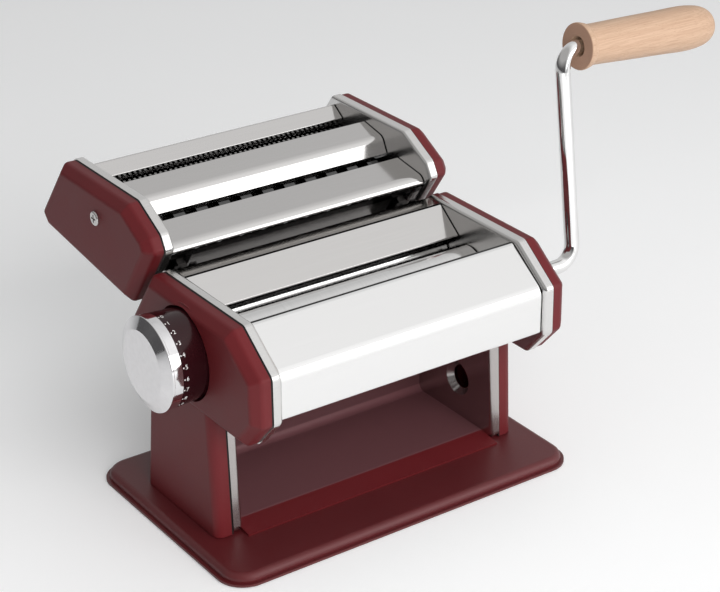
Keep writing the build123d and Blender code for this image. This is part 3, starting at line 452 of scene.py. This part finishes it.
def painted_joint(node):
    # Where a painted shell on the right starts, at the plate that it closes on
    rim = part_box(node)[0].x
    return joint_line(rim - 0.05 * MM, rim + 0.7 * MM)


def sheet_joint(node):
    # Where a sheet ends, at the side plate
    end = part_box(node)[1].x
    return joint_line(end - 0.5 * MM, end + 0.1 * MM)


# Part of a piece on both sides of the middle plane, from its reach and its spans in millimetres
def across(span_y, span_z, colour, reach=80.0):
    low = Vector((-1.0, span_y[0], span_z[0])) * MM
    high = Vector((reach, span_y[1], span_z[1])) * MM
    return low, high, colour


# Painted shade: a black strip along the hood's rolled top edge
hood_roll_shade = across((-42.6, -30.0), (110.0, 125.0), joint_and_shade_black)
# Painted shade: black on the chute's lower lip above the rollers
chute_lip_shade = across((-2.0, 4.0), (105.0, 111.0), joint_and_shade_black)
# Painted shade: a dark line along the chute's fold
chute_fold_shade = across((15.2, 16.1), (120.0, 126.0), joint_and_shade_black)
# Painted shade: the chute's top flange toned a darker grey
chute_flange_shade = across((16.1, 27.0), (120.0, 126.0), rgb(0.34, 0.325, 0.31))
# Painted shade: the cutter apron under the nose, black at the top and dark grey below
apron_top_shade = across((0.0, 60.0), (125.6, 140.0), joint_and_shade_black)
apron_low_shade = across((0.0, 60.0), (60.0, 125.6), rgb(0.26, 0.25, 0.245))
# Painted sheen: the back wall and the inner floor of the panel toned greyer
back_wall_sheen = across((29.5, 34.0), (12.0, 75.0), rgb(0.100, 0.040, 0.044))
inner_floor_sheen = across((-23.0, 31.6), (6.0, 12.0), rgb(0.138, 0.054, 0.060))
# Painted shade: the plates' rims toned a darker grey along the pillars, where they mirror the tray and its
# shadow
pillar_rim_shade = across((-60.0, 60.0), (0.0, 67.0), rgb(0.52, 0.49, 0.48), reach=90.0)

# Pieces with a finish of their own
special = [
    (burgundy("cover_burgundy", [painted_joint("right_cover")]), ["left_cover", "right_cover"]),
    (burgundy("cap_burgundy", [painted_joint("cutter_right_cap")]), ["cutter_left_cap", "cutter_right_cap"]),
    (bright_steel("hood_steel", [sheet_joint("front_hood"), hood_roll_shade]), ["front_hood"]),
    (sheet_steel("chute_steel", [sheet_joint("rear_chute"), chute_lip_shade, chute_fold_shade, chute_flange_shade]),
     ["rear_chute"]),
    (sheet_steel("guide_steel", [sheet_joint("front_guide")]), ["rear_guide", "centre_roof", "front_guide"]),
    (burgundy("panel_burgundy", [back_wall_sheen, inner_floor_sheen]), ["floor_panel"]),
    (tray_burgundy(), ["base_tray"]),
    (rim_steel("plate_steel", [pillar_rim_shade]), ["left_plate", "right_plate"]),
    (rim_steel("cutter_plate_steel"), ["cutter_left_plate", "cutter_right_plate"]),
    (sheet_steel("apron_shaded_steel", [apron_top_shade, apron_low_shade]), ["cutter_apron"]),
    (shadow_steel(), ["rail_left", "rail_right", "hook_left", "hook_right"]),
    (knob_chrome(), ["knob_cap"]),
]
special += [(cutter_alloy(node, tone), [node]) for node, tone in cutter_tones_and_shade.items()]
for finish, nodes in special:
    for node in nodes:
        frame["nodes"][node].data.materials[0] = finish


def added(name, mesh, body, finish):
    piece = bpy.data.objects.new(name, mesh)
    bpy.context.scene.collection.objects.link(piece)
    mesh.materials.append(finish)
    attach(piece, body)
    return piece


# Printed numbers round the knob's flared barrel, with a tick before each
def barrel_point(x, angle):
    radius = barrel_radius + barrel_flare * (barrel_in - x) / barrel_length + ink_lift
    return Vector((x, knob_axis.y - radius * math.cos(angle), knob_axis.z + radius * math.sin(angle)))


def drawn_number(number):
    words = bpy.data.curves.new("number", "FONT")
    words.body = str(number)
    words.size = number_height
    words.align_x = "CENTER"
    words.align_y = "CENTER"
    holder = bpy.data.objects.new("number", words)
    drawn = bpy.data.meshes.new_from_object(holder)
    bpy.data.objects.remove(holder)
    bpy.data.curves.remove(words)
    return drawn


def knob_numbers():
    sheet = bmesh.new()
    number_x = barrel_outer_corner.x + number_from_rim
    tick = [(tick_start, -tick_half_width), (tick_end, -tick_half_width), (tick_end, tick_half_width),
            (tick_start, tick_half_width)]

    def wrapped(u, v, angle):
        return sheet.verts.new(barrel_point(number_x + u, angle + v / barrel_radius))

    for number in range(number_count):
        angle = math.radians(first_number - number_step * number)
        drawn = drawn_number(number)
        corners = [wrapped(point.co.x, point.co.y, angle) for point in drawn.vertices]
        for face in drawn.polygons:
            sheet.faces.new([corners[i] for i in face.vertices])
        bpy.data.meshes.remove(drawn)
        sheet.faces.new([wrapped(u, v, angle) for u, v in tick])
    mesh = bpy.data.meshes.new("knob_numbers")
    sheet.to_mesh(mesh)
    sheet.free()
    piece = added("knob_numbers", mesh, "knob", number_white())
    ink = piece.modifiers.new("ink", "SOLIDIFY")
    ink.thickness = ink_thickness


knob_numbers()


# Floor, lamps, world and camera, in metres
def glances(tree):
    # Rays from the camera, and rays that come by way of a mirror or glass
    path = tree.nodes.new("ShaderNodeLightPath").outputs
    mirrored = sums(tree, "MAXIMUM", path["Is Glossy Ray"], path["Is Transmission Ray"])
    return path["Is Camera Ray"], mirrored


def floor_white():
    # Pale floor with a little glow of its own, which its mirror image loses towards the knob's side
    straight_glow = 0.15
    mirror_glow = 0.08
    finish, tree, shader = finish_named("floor_white")
    place = stretched(tree, even)
    tone = cloud(tree, place, 3.0)
    tree.links.new(mixed(tree, tone, rgb(0.86, 0.86, 0.86), rgb(0.9, 0.9, 0.9)), shader["Base Color"])
    shader["Roughness"].default_value = 0.7
    shader["Specular IOR Level"].default_value = 0.2
    side = knot(tree, "ShaderNodeSeparateXYZ", None, Vector=place).outputs["X"]
    straight, mirrored = glances(tree)
    in_mirror = sums(tree, "MULTIPLY", mirrored, spread(tree, side, -0.30, 0.0, 0.0, mirror_glow))
    in_camera = sums(tree, "MULTIPLY", straight, straight_glow)
    shader["Emission Color"].default_value = white
    tree.links.new(sums(tree, "ADD", in_mirror, in_camera), shader["Emission Strength"])
    return finish


bpy.ops.mesh.primitive_plane_add(size=12.0, location=(0.0, 0.0, 0.0))
floor = bpy.context.object
floor.name = "floor"
floor.data.materials.append(floor_white())


def turned_to(place, aim):
    return (Vector(aim) - Vector(place)).to_track_quat("-Z", "Y").to_euler()


def softbox(name, place, aim, width, depth, radiance, mirrored):
    lamp = bpy.data.lights.new(name, "AREA")
    lamp.shape = "RECTANGLE"
    lamp.size = width
    lamp.size_y = depth
    lamp.energy = radiance * math.pi * width * depth
    box = bpy.data.objects.new(name, lamp)
    bpy.context.scene.collection.objects.link(box)
    box.location = place
    box.rotation_euler = turned_to(place, aim)
    box.visible_glossy = mirrored


softbox("front_softbox", place=(-0.25, -1.65, 0.95), aim=(0.0, 0.0, 0.08), width=1.5, depth=1.1,
        radiance=6.0, mirrored=False)
softbox("top_softbox", place=(0.25, 0.1, 1.3), aim=(0.05, 0.0, 0.0), width=1.4, depth=1.2,
        radiance=0.55, mirrored=False)
softbox("side_softbox", place=(0.98, -1.43, 0.62), aim=(0.0, 0.06, 0.14), width=1.3, depth=0.95,
        radiance=1.45, mirrored=True)


# Studio that the metal mirrors: white in front, greyer behind, and on the knob's side dark with grey above
def studio_air():
    backdrop = rgb(0.93, 0.93, 0.93)
    dark_side = rgb(0.085, 0.083, 0.085)
    grey_above = rgb(0.40, 0.395, 0.39)
    world = bpy.data.worlds.new("studio")
    bpy.context.scene.world = world
    world.use_nodes = True
    tree = world.node_tree
    tree.nodes.clear()
    direction = tree.nodes.new("ShaderNodeTexCoord").outputs["Generated"]
    toward = knot(tree, "ShaderNodeSeparateXYZ", None, Vector=direction).outputs
    front = spread(tree, toward["Y"], 0.1, -0.45, 0.74, 1.0)
    rear = spread(tree, toward["Y"], 0.25, 0.6, 0.0, 0.14)
    bright = sums(tree, "SUBTRACT", front, rear)
    right = knot(tree, "ShaderNodeCombineColor", None, Red=bright, Green=bright, Blue=bright).outputs[0]
    left = mixed(tree, spread(tree, toward["Z"], 0.1, 0.5), dark_side, grey_above)
    around = mixed(tree, spread(tree, toward["X"], -0.22, 0.12), left, right)
    straight, mirrored = glances(tree)
    seen = mixed(tree, mirrored, backdrop, around)
    fill = knot(tree, "ShaderNodeBackground", None, Color=rgb(0.98, 0.99, 1.0), Strength=0.34)
    view = knot(tree, "ShaderNodeBackground", None, Color=seen, Strength=1.0)
    chosen = tree.nodes.new("ShaderNodeMixShader")
    tree.links.new(sums(tree, "MAXIMUM", straight, mirrored), chosen.inputs[0])
    tree.links.new(fill.outputs[0], chosen.inputs[1])
    tree.links.new(view.outputs[0], chosen.inputs[2])
    tree.links.new(chosen.outputs[0], tree.nodes.new("ShaderNodeOutputWorld").inputs["Surface"])


studio_air()

camera_place = (-0.50505, -0.73568, 0.53455)
camera_aim = (0.0145, 0.0, 0.0945)
lens = bpy.data.cameras.new("camera")
lens.sensor_fit = "HORIZONTAL"
lens.sensor_width = 36.0
lens.lens = 101.0
lens.clip_start = 0.05
lens.clip_end = 30.0
camera = bpy.data.objects.new("camera", lens)
bpy.context.scene.collection.objects.link(camera)
camera.location = camera_place
camera.rotation_euler = turned_to(camera_place, camera_aim)
bpy.context.scene.camera = camera
bpy.context.scene.view_settings.view_transform = "Standard"
